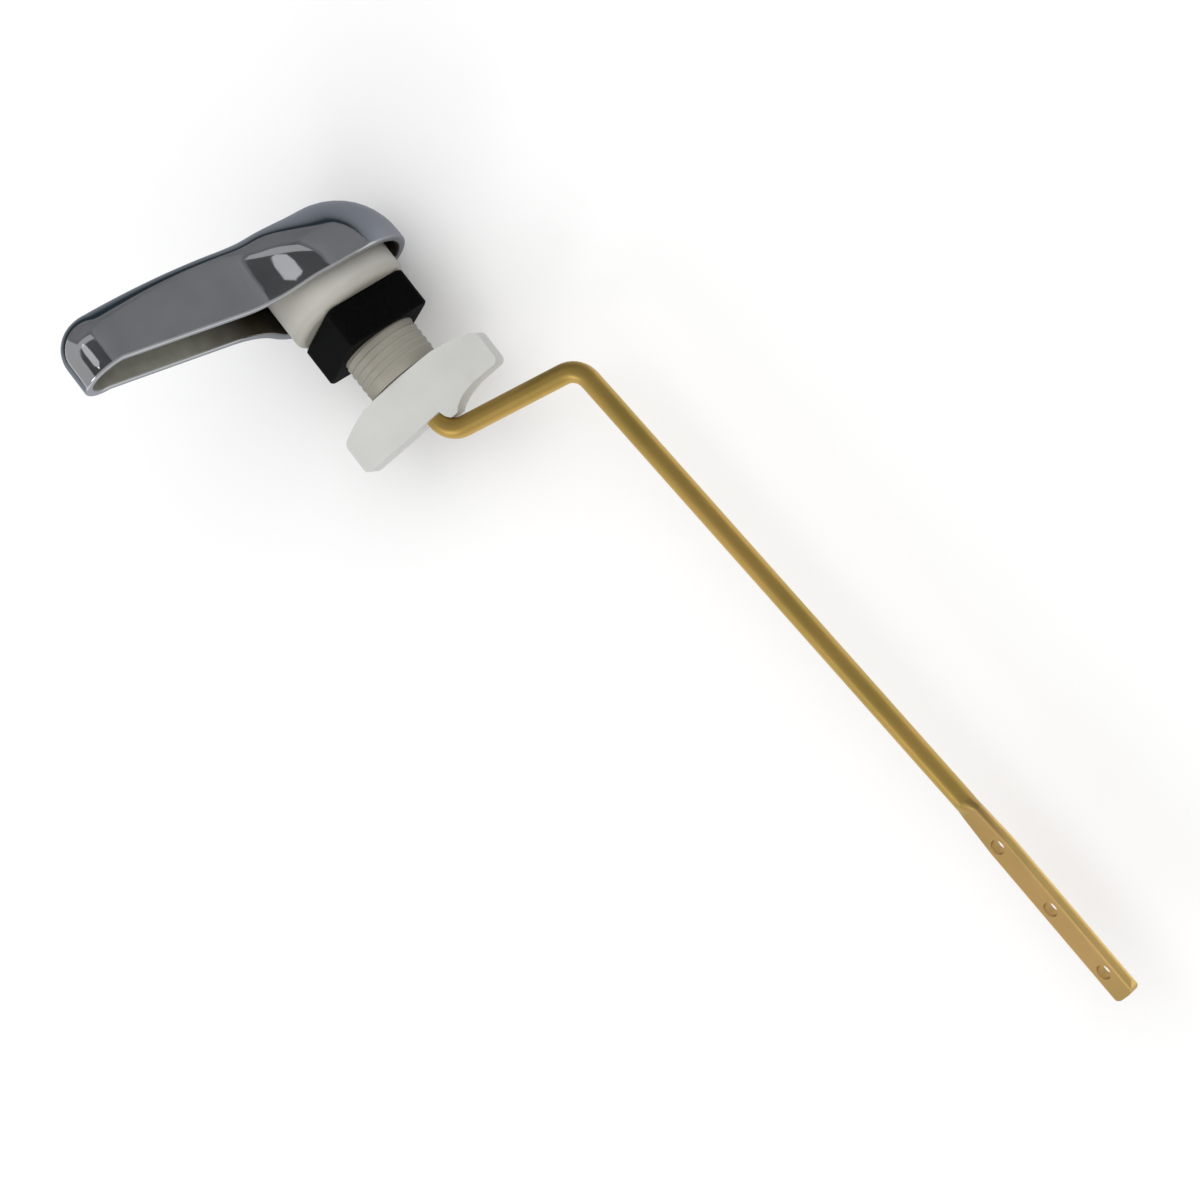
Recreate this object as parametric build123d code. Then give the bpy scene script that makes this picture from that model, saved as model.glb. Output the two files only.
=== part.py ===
from build123d import *
import math
import os

# Side-mount cistern lever. The spindle axis is X and runs into the tank; the bushing's seat on the
# tank wall is at X = 0. The lift rod's bends lie in the level plane Z = 0 at rest.

# lift rod
ROD_D = 4.76
ROD_INNER_X = 13.0  # end of the rod inside the spindle
ROD_CORNER_X = 35.0  # first bend's corner on the spindle axis
CRANK_REACH = 32.3  # second corner's distance from the spindle axis
CRANK_LEAN = 13.0  # degrees, crank leans into the tank
LEG_SPLAY = 3.5  # degrees, long leg opens away from the spindle axis
ROD_BEND_R = 5.2
LEG_LENGTH = 177.0  # second corner to the tip
PADDLE_LENGTH = 52.5
PADDLE_TURN = 1.3  # degrees the flat end turns back towards the spindle axis
PADDLE_ROLL = 35.0  # degrees the flat end is turned about the rod
PADDLE_W = 7.5
PADDLE_T = 2.6
PADDLE_SPREAD = 12.0  # length over which the flat end widens
STAMP_L = 2.6  # short shoulder between round and flat
STAMP_W = 6.3
STAMP_SKEW = 12.0  # degrees the shoulder lies askew
PADDLE_TIP_R = 2.6
TIP_SKIN = 0.02  # the tip's rounding starts this far outside the side edges
HOLE_D = 3.5
HOLE_PITCH = 16.9
HOLE_FROM_TIP = 6.9
HOLE_COUNT = 3

# bushing
DRUM_R = 14.4
DRUM_H = 12.5
DRUM_EDGE_R = 1.8
DRUM_WALL = 2.2
DRUM_FLOOR = 3.0
BARREL_R = 9.0  # thread's crest
BARREL_L = 19.6
BARREL_CHAMFER = 0.6
STOP_RIB_H = 7.0
STOP_RIB_ANGLE = 14.0

# spindle with rod holder
JOURNAL_R = 5.0
SHANK_AF = 7.0
SHANK_L = 16.0
HOLDER_L = 10.6  # along the axis
HOLDER_TOP_T = 16.0  # at the axis, next to the barrel
HOLDER_END_T = 7.0  # at the axis, where the rod comes out
SHOULDER_W = 10.2  # half the top's width
EAR_SPAN = 39.4
EAR_H = 8.4  # along the axis at the ear's end
EAR_T = 5.6
EAR_CORNER_R = 1.4
EAR_CHAMFER = 0.5
SADDLE_W = 12.5  # from the axis
SADDLE_MID_Y = 8.3
SADDLE_MID_H = 0.75
SADDLE_TIP_Y = 5.2
SADDLE_H = 2.6
SADDLE_ROOT = 2.0
SADDLE_T = 4.6

# handle
HUB_R = 18.7
HUB_EDGE_R = 16.4  # dome
LEVER_HALF_W = 8.1
LEVER_EDGE_R = 3.8
TIP_EDGE_R = 7.4
LEVER_TIP_S = 54.2  # centre of the rounded tip, from the axis
NECK_R = 16.7  # hollow curve between hub and lever
HANDLE_WALL = 2.0
CAVITY_DROP = 4.0  # the space inside runs out past the back rim
RIM_X = -5.5  # hub's back rim
RIM_SLOPE = 0.18  # the lever's back leans away from the wall
RIM_BLEND = 10.0  # length over which the lean sets in
FRONT_X = -24.4  # hub's front
FRONT_RISE = 4.2  # lever's front beyond the hub's at the tip
FRONT_POWER = 2.5  # how late the front rises
SECTION_COUNT = 14
HANDLE_RISE = 45.0  # degrees the lever stands above level at rest
BOSS_R = 7.6
BOSS_ROOT = 1.5  # the boss starts this far behind the hub's front
LUG_ANGLE = 24.0
LUG_L = 6.0

# set screw
SCREW_D = 4.0
SCREW_L = 6.0
SCREW_HEX = 2.0
SCREW_HEX_DEPTH = 2.5
SCREW_X = -15.4
SCREW_ACCESS_D = 4.6

# lock nut
NUT_AF = 21.4
NUT_H = 9.4
NUT_CORNER_R = 2.0
NUT_CHAMFER = 0.4

# fits
TURN_RANGE = 45.0  # degrees of lever travel between the stops
STOP_GAP = 0.5  # degrees left at each stop
BORE_CLEAR = 0.06  # radial, spindle in bushing
THREAD_CLEAR = 0.15  # radial, nut on barrel
FACE_CLEAR = 0.3  # axial, between turning and standing faces
NUT_SEAT_GAP = 0.1
SOCKET_CLEAR = 0.05  # each side, shank in socket
ROD_CLEAR = 0.03  # radial, rod in spindle
SCREW_CLEAR = 0.03
SWEEP_CLEAR = 0.5  # radial, between parts that turn past each other
OVERLAP = 0.5  # joined forms run into each other
CUT_PAST = 1.0  # cuts run out past the surface

os.makedirs("parts", exist_ok=True)

ROD_R = ROD_D / 2
HOLDER_X = BARREL_L + FACE_CLEAR
HOLDER_END_X = HOLDER_X + HOLDER_L
CUP_R = DRUM_R - DRUM_WALL
BOSS_END_X = -DRUM_FLOOR - FACE_CLEAR


def about_axis(shape, degrees):
    return Rot(degrees, 0, 0) * shape


def rod_of(x0, x1, radius):
    return Plane.YZ.offset(x0) * extrude(Circle(radius), x1 - x0)


def sector(r_in, r_out, x0, x1, middle, width):
    """Ring sector about X, its middle at an angle counted from Y towards Z."""
    ring = rod_of(x0, x1, r_out) - rod_of(x0 - CUT_PAST, x1 + CUT_PAST, r_in)
    reach = 2 * r_out
    half = math.radians(width / 2)
    wedge = Polyline(
        (0, 0),
        (reach * math.cos(half), -reach * math.sin(half)),
        (reach * math.cos(half), reach * math.sin(half)),
        close=True,
    )
    block = Plane.YZ.offset(x0) * extrude(make_face(wedge), x1 - x0)
    return ring & about_axis(block, middle)


# lift rod
crank_len = CRANK_REACH / math.cos(math.radians(CRANK_LEAN))
corner_1 = Vector(ROD_CORNER_X, 0, 0)
corner_2 = corner_1 + Vector(crank_len * math.sin(math.radians(CRANK_LEAN)), CRANK_REACH, 0)
leg_dir = Vector(math.cos(math.radians(LEG_SPLAY)), math.sin(math.radians(LEG_SPLAY)), 0)
round_end = corner_2 + leg_dir * (LEG_LENGTH - PADDLE_LENGTH)
rod_path = FilletPolyline(
    (ROD_INNER_X, 0, 0),
    tuple(corner_1),
    tuple(corner_2),
    tuple(round_end),
    radius=ROD_BEND_R,
)


def along_path(radius):
    return sweep(Plane.YZ.offset(ROD_INNER_X) * Circle(radius), path=rod_path)


def four_sided(corner_x, corner_y, top_y, side_x):
    """Closed section of four arcs or lines through its corners and the middles of its sides."""
    corners = [(-corner_x, corner_y), (corner_x, corner_y), (corner_x, -corner_y), (-corner_x, -corner_y)]
    middles = [(0, top_y), (side_x, 0), (0, -top_y), (-side_x, 0)]
    sides = []
    for i, middle in enumerate(middles):
        ends = corners[i], corners[(i + 1) % 4]
        straight = i % 2 == 0 and top_y == corner_y
        sides.append(Line(*ends) if straight else ThreePointArc(ends[0], middle, ends[1]))
    return make_face(sides)


def flat_form(width):
    """Section of the flat end, its narrow sides bulging."""
    return four_sided((width - PADDLE_T) / 2, PADDLE_T / 2, PADDLE_T / 2, width / 2)


def across(origin, heading, roll=0):
    """Plane across the rod where it runs at a heading in the level plane, rolled about the rod."""
    angle = math.radians(heading)
    ahead = Vector(math.cos(angle), math.sin(angle), 0)
    aside = Vector(-ahead.Y, ahead.X, 0) * math.cos(math.radians(roll))
    return Plane(origin=origin, x_dir=aside + Vector(0, 0, math.sin(math.radians(roll))), z_dir=ahead)


flat_heading = LEG_SPLAY - PADDLE_TURN
flat_dir = across(round_end, flat_heading).z_dir
stamp_end = round_end + flat_dir * STAMP_L
flat_start = round_end + flat_dir * PADDLE_SPREAD
rod_corner = ROD_R * math.cos(math.pi / 4)
round_plane = across(round_end, LEG_SPLAY, PADDLE_ROLL)
round_section = round_plane * four_sided(rod_corner, rod_corner, ROD_R, ROD_R)
stamp_section = across(stamp_end, flat_heading - STAMP_SKEW, PADDLE_ROLL) * flat_form(STAMP_W)
flat_section = across(flat_start, flat_heading, PADDLE_ROLL) * flat_form(PADDLE_W)
taper = loft([round_section, stamp_section]) + loft([stamp_section, flat_section])
flat = extrude(flat_section, PADDLE_LENGTH - PADDLE_SPREAD)
tip_point = round_end + flat_dir * PADDLE_LENGTH
flat_normal = across(tip_point, flat_heading, PADDLE_ROLL).y_dir
tip_plane = Plane(origin=tip_point, x_dir=flat_dir, z_dir=flat_normal)
tip_outline = RectangleRounded(2 * PADDLE_LENGTH, PADDLE_W + TIP_SKIN, PADDLE_TIP_R)
tip_block = extrude(tip_outline, PADDLE_T, both=True)
flat = flat & (tip_plane * Pos(-PADDLE_LENGTH, 0, 0) * tip_block)
lift_rod = along_path(ROD_R) + taper + flat
for i in range(HOLE_COUNT):
    back = HOLE_FROM_TIP + i * HOLE_PITCH
    lift_rod -= tip_plane * Pos(-back, 0, 0) * Cylinder(HOLE_D / 2, 2 * ROD_D)

# bushing
bushing = rod_of(-DRUM_H, 0, DRUM_R)
seat_edge = bushing.edges().filter_by(GeomType.CIRCLE).sort_by(Axis.X)[-1]
bushing = fillet(seat_edge, DRUM_EDGE_R)
bushing -= rod_of(-DRUM_H - CUT_PAST, -DRUM_FLOOR, CUP_R)
barrel = rod_of(-DRUM_FLOOR, BARREL_L, BARREL_R)
barrel_edge = barrel.edges().filter_by(GeomType.CIRCLE).sort_by(Axis.X)[-1]
bushing += chamfer(barrel_edge, BARREL_CHAMFER)
lug_middle = -HANDLE_RISE
stop_half = (LUG_ANGLE + STOP_RIB_ANGLE) / 2 + STOP_GAP
rib_x0 = -DRUM_FLOOR - STOP_RIB_H
for middle in (lug_middle - stop_half, lug_middle + TURN_RANGE + stop_half):
    bushing += sector(
        BOSS_R + SWEEP_CLEAR,
        CUP_R + OVERLAP,
        rib_x0,
        -DRUM_FLOOR + OVERLAP,
        middle,
        STOP_RIB_ANGLE,
    )
bushing -= rod_of(-DRUM_H, BARREL_L + CUT_PAST, JOURNAL_R + BORE_CLEAR)

# spindle with rod holder
spindle = rod_of(BOSS_END_X, HOLDER_X + HOLDER_L / 2, JOURNAL_R)
shank_end = Plane.YZ.offset(BOSS_END_X - SHANK_L)
shank = shank_end * extrude(Rectangle(SHANK_AF, SHANK_AF), SHANK_L + OVERLAP)
spindle += about_axis(shank, -HANDLE_RISE)
ear_top = HOLDER_END_X - EAR_H
ear_half = EAR_SPAN / 2
holder_outline = Polyline(
    (HOLDER_X, -SHOULDER_W),
    (ear_top, -ear_half),
    (HOLDER_END_X, -ear_half),
    (HOLDER_END_X, ear_half),
    (ear_top, ear_half),
    (HOLDER_X, SHOULDER_W),
    close=True,
)
holder = extrude(make_face(holder_outline), HOLDER_TOP_T, both=True)
ear_corners = holder.edges().filter_by(Axis.Z)
ear_corners = ear_corners.filter_by(lambda e: abs(e.center().Y) > ear_half - EAR_CORNER_R)
holder = fillet(ear_corners, EAR_CORNER_R)


def lens(x, middle):
    """Cross-section at x, thick at the axis and thin at the ears."""
    near = ThreePointArc((-ear_half, EAR_T / 2), (0, middle / 2), (ear_half, EAR_T / 2))
    far = ThreePointArc((-ear_half, -EAR_T / 2), (0, -middle / 2), (ear_half, -EAR_T / 2))
    ends = [Line((side * ear_half, -EAR_T / 2), (side * ear_half, EAR_T / 2)) for side in (-1, 1)]
    return Plane.YZ.offset(x) * make_face([near, far, *ends])


holder &= loft([lens(HOLDER_X, HOLDER_TOP_T), lens(HOLDER_END_X, HOLDER_END_T)], ruled=True)
holder_rims = holder.edges().filter_by(lambda e: abs(e.center().Z) > EAR_T / 4)
holder = chamfer(holder_rims, EAR_CHAMFER)
spindle += holder
saddle_line = Polyline(
    (HOLDER_END_X + SADDLE_H, SADDLE_TIP_Y),
    (HOLDER_END_X + SADDLE_H, ROD_R / 2),
    (HOLDER_END_X - SADDLE_ROOT, ROD_R / 2),
    (HOLDER_END_X - SADDLE_ROOT, SADDLE_W),
    (HOLDER_END_X, SADDLE_W),
)
saddle_curve = ThreePointArc(
    (HOLDER_END_X, SADDLE_W),
    (HOLDER_END_X + SADDLE_MID_H, SADDLE_MID_Y),
    (HOLDER_END_X + SADDLE_H, SADDLE_TIP_Y),
)
saddle = extrude(make_face([saddle_curve, *saddle_line.edges()]), SADDLE_T / 2, both=True)
spindle += saddle
spindle -= along_path(ROD_R + ROD_CLEAR)
spindle -= rod_of(ROD_INNER_X - ROD_CLEAR, ROD_INNER_X + CUT_PAST, ROD_R + ROD_CLEAR)

# handle, built with its lever along -Y and turned to its rest angle at the end
neck_y = math.sqrt((HUB_R + NECK_R) ** 2 - (LEVER_HALF_W + NECK_R) ** 2)
meet = HUB_R / (HUB_R + NECK_R)
meet_y = neck_y * meet


def half_width(s):
    """Half the handle's width at distance s from the axis."""
    if s <= meet_y:
        return math.sqrt(HUB_R**2 - s**2)
    if s <= neck_y:
        return LEVER_HALF_W + NECK_R - math.sqrt(NECK_R**2 - (neck_y - s) ** 2)
    return LEVER_HALF_W


def rim_back(s):
    """How far the back rim has moved from the wall at distance s."""
    if s <= RIM_BLEND:
        return RIM_SLOPE * s**2 / (2 * RIM_BLEND)
    return RIM_SLOPE * (s - RIM_BLEND / 2)


def ease(t):
    """Smooth step from 0 to 1."""
    t = min(max(t, 0.0), 1.0)
    return t**2 * (3 - 2 * t)


def handle_section(s, wall, drop):
    """Cross-section at distance s: flat back, two sides and a front with rounded edges."""
    edge_r = LEVER_EDGE_R - wall
    edge_r += (HUB_EDGE_R - LEVER_EDGE_R) * (1 - ease(s / neck_y))
    edge_r += (TIP_EDGE_R - LEVER_EDGE_R) * ease((s - neck_y) / (LEVER_TIP_S - neck_y))
    w = half_width(s) - wall
    rim = -RIM_X + rim_back(s) - drop
    rise = math.sin(math.pi / 2 * s / LEVER_TIP_S) ** FRONT_POWER
    front = -FRONT_X + FRONT_RISE * rise - wall
    bulge = edge_r * (1 - math.cos(math.pi / 4))
    left = [(-w, front - edge_r), (-w + bulge, front - bulge), (-w + edge_r, front)]
    right = [(w - edge_r, front), (w - bulge, front - bulge), (w, front - edge_r)]
    top = Line((-w + edge_r, front), (w - edge_r, front))
    sides = Polyline((w, front - edge_r), (w, rim), (-w, rim), (-w, front - edge_r))
    edges = [top, *sides.edges()]
    for points in (left, right):
        edges += Polyline(*points).edges() if wall else ThreePointArc(*points).edges()
    face = make_face(edges)
    return Plane(origin=(0, -s, 0), x_dir=(0, 0, 1), z_dir=(0, -1, 0)) * face


def handle_body(wall, drop):
    """Outer form of the handle, or with a wall the space inside it."""
    stations = [LEVER_TIP_S * k / (SECTION_COUNT - 1) for k in range(SECTION_COUNT)]
    body = loft([handle_section(s, wall, drop) for s in stations])
    half_space = Pos(0, 0, 2 * HUB_R) * Box(8 * HUB_R, 8 * LEVER_TIP_S, 4 * HUB_R)
    hub_half = handle_section(0, wall, drop) & half_space
    body += revolve(hub_half, Axis((0, 0, 0), (-1, 0, 0)), 180)
    tip_half = handle_section(LEVER_TIP_S, wall, drop) & half_space
    body += revolve(tip_half, Axis((0, -LEVER_TIP_S, 0), (1, 0, 0)), 180)
    return body


handle = handle_body(0, 0) - handle_body(HANDLE_WALL, CAVITY_DROP)
handle += rod_of(FRONT_X + BOSS_ROOT, BOSS_END_X, BOSS_R)
lug_r = CUP_R - SWEEP_CLEAR
handle += sector(BOSS_R - OVERLAP, lug_r, BOSS_END_X - LUG_L, BOSS_END_X, 0, LUG_ANGLE)
socket = Rectangle(SHANK_AF + 2 * SOCKET_CLEAR, SHANK_AF + 2 * SOCKET_CLEAR)
socket_depth = SHANK_L + FACE_CLEAR
handle -= Plane.YZ.offset(BOSS_END_X - socket_depth) * extrude(socket, socket_depth + CUT_PAST)
screw_out = SHANK_AF / 2 + SOCKET_CLEAR
screw_axis = Plane(origin=(SCREW_X, 0, 0), z_dir=(0, 0, -1))
handle -= screw_axis * extrude(Circle(SCREW_D / 2 + SCREW_CLEAR), BOSS_R + CUT_PAST)
access = extrude(Circle(SCREW_ACCESS_D / 2), HUB_R)
handle -= screw_axis.offset(HUB_R - 2 * HANDLE_WALL) * access

# set screw in the boss, against the shank
set_screw = screw_axis.offset(screw_out) * extrude(Circle(SCREW_D / 2), SCREW_L)
hex_recess = extrude(RegularPolygon(SCREW_HEX / 2, 6, major_radius=False), SCREW_HEX_DEPTH)
set_screw -= screw_axis.offset(screw_out + SCREW_L - SCREW_HEX_DEPTH) * hex_recess

handle = about_axis(handle, -HANDLE_RISE)
set_screw = about_axis(set_screw, -HANDLE_RISE)

# lock nut
nut = Plane.YZ.offset(NUT_SEAT_GAP) * extrude(RectangleRounded(NUT_AF, NUT_AF, NUT_CORNER_R), NUT_H)
nut_rims = nut.edges().filter_by(Axis.X, reverse=True)
nut = chamfer(nut_rims, NUT_CHAMFER)
nut -= rod_of(-CUT_PAST, NUT_SEAT_GAP + NUT_H + CUT_PAST, BARREL_R + THREAD_CLEAR)
lock_nut = about_axis(nut, -HANDLE_RISE)

export_step(handle, "parts/handle.step")
export_step(set_screw, "parts/set_screw.step")
export_step(bushing, "parts/bushing.step")
export_step(lock_nut, "parts/lock_nut.step")
export_step(spindle, "parts/spindle.step")
export_step(lift_rod, "parts/lift_rod.step")
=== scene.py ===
import math

import bmesh
import bpy
from mathutils import Matrix, Vector


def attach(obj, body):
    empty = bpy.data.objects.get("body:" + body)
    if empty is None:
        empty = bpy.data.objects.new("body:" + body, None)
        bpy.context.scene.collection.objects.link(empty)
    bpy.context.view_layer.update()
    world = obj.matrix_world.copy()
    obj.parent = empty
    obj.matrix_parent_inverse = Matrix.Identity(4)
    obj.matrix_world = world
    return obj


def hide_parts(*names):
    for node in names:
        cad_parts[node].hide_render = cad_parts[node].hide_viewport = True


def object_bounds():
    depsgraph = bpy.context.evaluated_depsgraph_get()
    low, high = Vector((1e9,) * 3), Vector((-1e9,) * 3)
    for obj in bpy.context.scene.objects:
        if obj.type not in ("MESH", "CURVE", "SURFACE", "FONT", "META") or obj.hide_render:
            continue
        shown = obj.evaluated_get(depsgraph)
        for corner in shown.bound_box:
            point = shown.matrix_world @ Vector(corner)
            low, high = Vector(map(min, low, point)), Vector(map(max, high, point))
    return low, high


bl_info = {
    "name": "Cistern lever",
    "version": (1, 0, 0),
    "blender": (4, 5, 0),
    "location": "3D View > Sidebar > Cistern lever",
    "description": "Dresses the packed cistern lever with its handle, bushing, nut, spindle, rod and stage",
    "category": "Object",
}

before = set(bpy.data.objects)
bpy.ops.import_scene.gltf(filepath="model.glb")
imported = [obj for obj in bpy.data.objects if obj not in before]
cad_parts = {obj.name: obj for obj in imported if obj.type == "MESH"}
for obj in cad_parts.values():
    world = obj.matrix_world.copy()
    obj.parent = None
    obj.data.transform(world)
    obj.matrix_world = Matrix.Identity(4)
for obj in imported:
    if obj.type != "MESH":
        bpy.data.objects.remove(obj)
CAD_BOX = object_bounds()

MM = 0.001
FULL_TURN = 2 * math.pi
QUARTER_TURN = math.pi / 2
Z_TO_X = Matrix.Rotation(QUARTER_TURN, 4, "Y")  # lays a round shape's axis along X
HANDLE_REST = math.radians(-45)  # the handle stands 45 degrees above level at rest

# the handle's outline in mm, as in the part's source
HUB_R = 18.7
NECK_R = 16.7
TIP_S = 54.2
HUB_EDGE_R = 16.4
TIP_EDGE_R = 7.4
RIM_X = 5.5
RIM_SLOPE = 0.18
RIM_BLEND = 10.0
FRONT_X = 24.4
FRONT_RISE = 4.2
FRONT_POWER = 2.5
BOSS_R = 7.6
BOSS_END = -3.3
BOSS_FRONT = -22.9
SOCKET_HALF = 3.55
SOCKET_FLOOR = -19.6
LUG_HALF_ANGLE = math.radians(12)
LUG_R = (7.1, 11.7)
LUG_X = (-9.3, -3.3)
ACCESS_X = -15.4
ACCESS_R = 2.3
ACCESS_WALL_Z = -17  # about where the hole's middle lies in the hub's wall
ACCESS_SIDE_Z = -10  # the hole's side of the hub lies beyond this
ACCESS_MARGIN = 1.0  # round the hole, where the wall's mesh is opened up
ACCESS_INSET = 0.4

# how finely the handle is made, with angles between faces and a distance in mm
HANDLE_STATIONS = 40
HUB_STEPS = 22
TIP_STEPS = 16
BOSS_STEPS = 48
HANDLE_MERGE = 0.002
RIM_ANGLE = math.radians(55)
HANDLE_SHARP = math.radians(35)

# the bushing in mm
DRUM_R = 14.4
DRUM_FRONT = -12.5
DRUM_FLOOR = -3.0
DRUM_RIM_ROUND = 0.4
CUP_R = 12.2
BORE_R = 5.06
BARREL_END = 19.6
BARREL_CHAMFER = (0.25, 0.2)  # along the axis and across it
THREAD_INSET = 0.9  # from the drum's seat and from the barrel's end
THREAD_SUNK = 0.1  # the ridge's foot lies this far inside the core
THREAD_FOOT = 0.40  # half the ridge's width at its foot, in pitches
THREAD_TOP = 0.12  # half the ridge's width at its crest, in pitches
THREAD_LEAD = 0.5  # the ridge rises as if it began this much before its start
RIB_HALF_ANGLE = math.radians(7)
RIB_MIDDLES = (math.radians(-64.5), math.radians(19.5))
RIB_R = (8.1, 12.4)
RIB_X = (-10.0, -2.8)
BUSHING_MERGE = 0.0005
ON_PLANE = 0.01  # a vertex this near a plane lies on it
AT_EDGE = 0.1  # a vertex this near an outer edge belongs to it

# the spindle and its holder in mm
JOURNAL_R = 5.0
JOURNAL_END = 24  # inside the holder
SHANK_HALF = 3.5
SHANK_FRONT = -19.3
SHANK_OVERLAP = 0.5  # of the shank with the journal
HOLDER_TOP = 19.9
HOLDER_END = 30.5
SHOULDER_W = 10.2
KNEE = (20.78, 15.0)  # bend in the edge between shoulder and ear
EAR_TOP = 22.1
EAR_HALF = 19.7
EAR_HALF_T = 2.8
CORNER_SPAN = 3  # an ear's corner edge is longer than this from face to face
HOLDER_HALF_T = (8.0, 3.5)  # at the axis, next to the barrel and at the rod
HOLDER_CUTS = 8  # on each side of the axis
HOLDER_CUT_STEP = 2.2
HOLDER_RIM_ANGLE = math.radians(50)
SADDLE_END = 33.1
SADDLE_FOOT = 12.5  # from the axis
SADDLE_CURVE = ((SADDLE_END, 3.6), (SADDLE_END, 5.2), (32.1, 6.4), (31.25, 8.3), (30.72, 10.4))
COLLAR_R = 7.4  # shoulder that bears on the barrel's end
COLLAR_X = (BARREL_END + 0.02, HOLDER_TOP + 0.4)
BEND_MIDDLE = (30.87, 5.2)  # centre of the rod's first bend
BEND_INNER = 2.82
MOULDED_SHARP = math.radians(40)

# the rod's flattened end in mm: the direction across its face and its middle line's place that way
FLAT_ACROSS = (-0.0315, 0.819, 0.574)
FLAT_MIDDLE = 27.44
# painted light: the pressed sides are painted brighter to stand for the light they catch
PRESSED_SIDE = (2.8, 3.4)  # from the middle line, where the pressed sides begin and are fully bright

# places in metres between which a finish or a painted shade changes
# painted shade: from here the drum's lip by the nut and then the barrel darken to the barrel's colour
DRUM_TO_SHADED_BARREL = (-0.003, 0.001)
DRAWN_TO_STAMPED = (0.165, 0.169)
# painted shade: the casting is painted dark brown within this distance of the spindle's axis, deep in the
# hollow hub
PAINTED_SHADE_SPAN = (0.020, 0.036)  # from the spindle's axis

# the stage in metres
FLOOR_GAP = 0.0002  # under the lowest point of the part
FLOOR_LEVEL = CAD_BOX[0][2] - FLOOR_GAP
FLOOR_SIZE = 6
CARD_LIFT = 0.001  # the front card's height over the floor
SIDE_FADE = ((0.05, (0.29, 0.293, 0.30)), (0.16, (0.55, 0.55, 0.55)))
# painted reflection: the front card, seen only in the handle's chrome, is darkest from -0.34 to -0.17 m,
# standing for shade on the floor in front of the handle, and pales towards the part
FRONT_FADE = (
    (-0.46, (0.26, 0.265, 0.275)),
    (-0.34, (0.03, 0.045, 0.055)),
    (-0.17, (0.03, 0.045, 0.055)),
    (-0.10, (0.19, 0.205, 0.23)),
    (-0.03, (0.33, 0.35, 0.39)),
    (0.03, (0.62, 0.63, 0.66)),
)
LEFT_GREY = (0.25, 0.254, 0.262)
CEILING_GREY = (0.15, 0.15, 0.155)
WORLD_GREY = (0.9, 0.9, 0.9)
WORLD_STRENGTH = 0.62
AXIS_TARGET = (0.05, 0, 0)  # on the spindle's axis, beyond the holder
SEAT_TARGET = (0.0, 0, 0)  # at the bushing's seat
CAMERA_PLACE = (0.16493, 0.19727, 0.65805)
CAMERA_RIGHT = (0.60989, 0.73705, -0.29118)
CAMERA_UP = (-0.78386, 0.61511, -0.08484)
CAMERA_BACK = (0.11658, 0.27999, 0.95290)
CAMERA_SENSOR = 36  # mm
CAMERA_LENS = 95.625  # mm
CAMERA_FAR = 10


class CisternLeverSizes(bpy.types.PropertyGroup):
    """Sizes that a user may change in the visible model."""

    wall: bpy.props.FloatProperty(
        name="Handle wall", description="Thickness of the chromed shell",
        default=0.002, min=0.001, max=0.003, subtype="DISTANCE", unit="LENGTH", precision=4)
    lever_half_width: bpy.props.FloatProperty(
        name="Lever half width", description="Half the lever's width between neck and tip",
        default=0.0081, min=0.006, max=0.0081, subtype="DISTANCE", unit="LENGTH", precision=4)
    lever_edge: bpy.props.FloatProperty(
        name="Lever edge", description="Radius of the lever's front edges",
        default=0.0038, min=0.002, max=0.006, subtype="DISTANCE", unit="LENGTH", precision=4)
    rim_round: bpy.props.FloatProperty(
        name="Rim rounding", description="Rounding of the shell's back rim",
        default=0.0005, min=0.0001, max=0.0009, subtype="DISTANCE", unit="LENGTH", precision=5)
    drum_lip: bpy.props.FloatProperty(
        name="Drum lip", description="Rounding of the drum's seat edge",
        default=0.0018, min=0.0005, max=0.003, subtype="DISTANCE", unit="LENGTH", precision=4)
    thread_pitch: bpy.props.FloatProperty(
        name="Thread pitch", description="Distance between two turns of the barrel's thread",
        default=0.00175, min=0.001, max=0.003, subtype="DISTANCE", unit="LENGTH", precision=5)
    thread_crest: bpy.props.FloatProperty(
        name="Thread crest", description="Radius over the thread",
        default=0.009, min=0.0085, max=0.009, subtype="DISTANCE", unit="LENGTH", precision=4)
    thread_depth: bpy.props.FloatProperty(
        name="Thread depth", description="Height of the thread over the barrel's core",
        default=0.0002, min=0.0001, max=0.0009, subtype="DISTANCE", unit="LENGTH", precision=5)
    holder_round: bpy.props.FloatProperty(
        name="Holder rounding", description="Rounding of the rod holder's moulded edges",
        default=0.0006, min=0.0002, max=0.0015, subtype="DISTANCE", unit="LENGTH", precision=5)
    ear_corner: bpy.props.FloatProperty(
        name="Ear corner", description="Radius of the ears' corners",
        default=0.0014, min=0.0005, max=0.002, subtype="DISTANCE", unit="LENGTH", precision=4)


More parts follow.
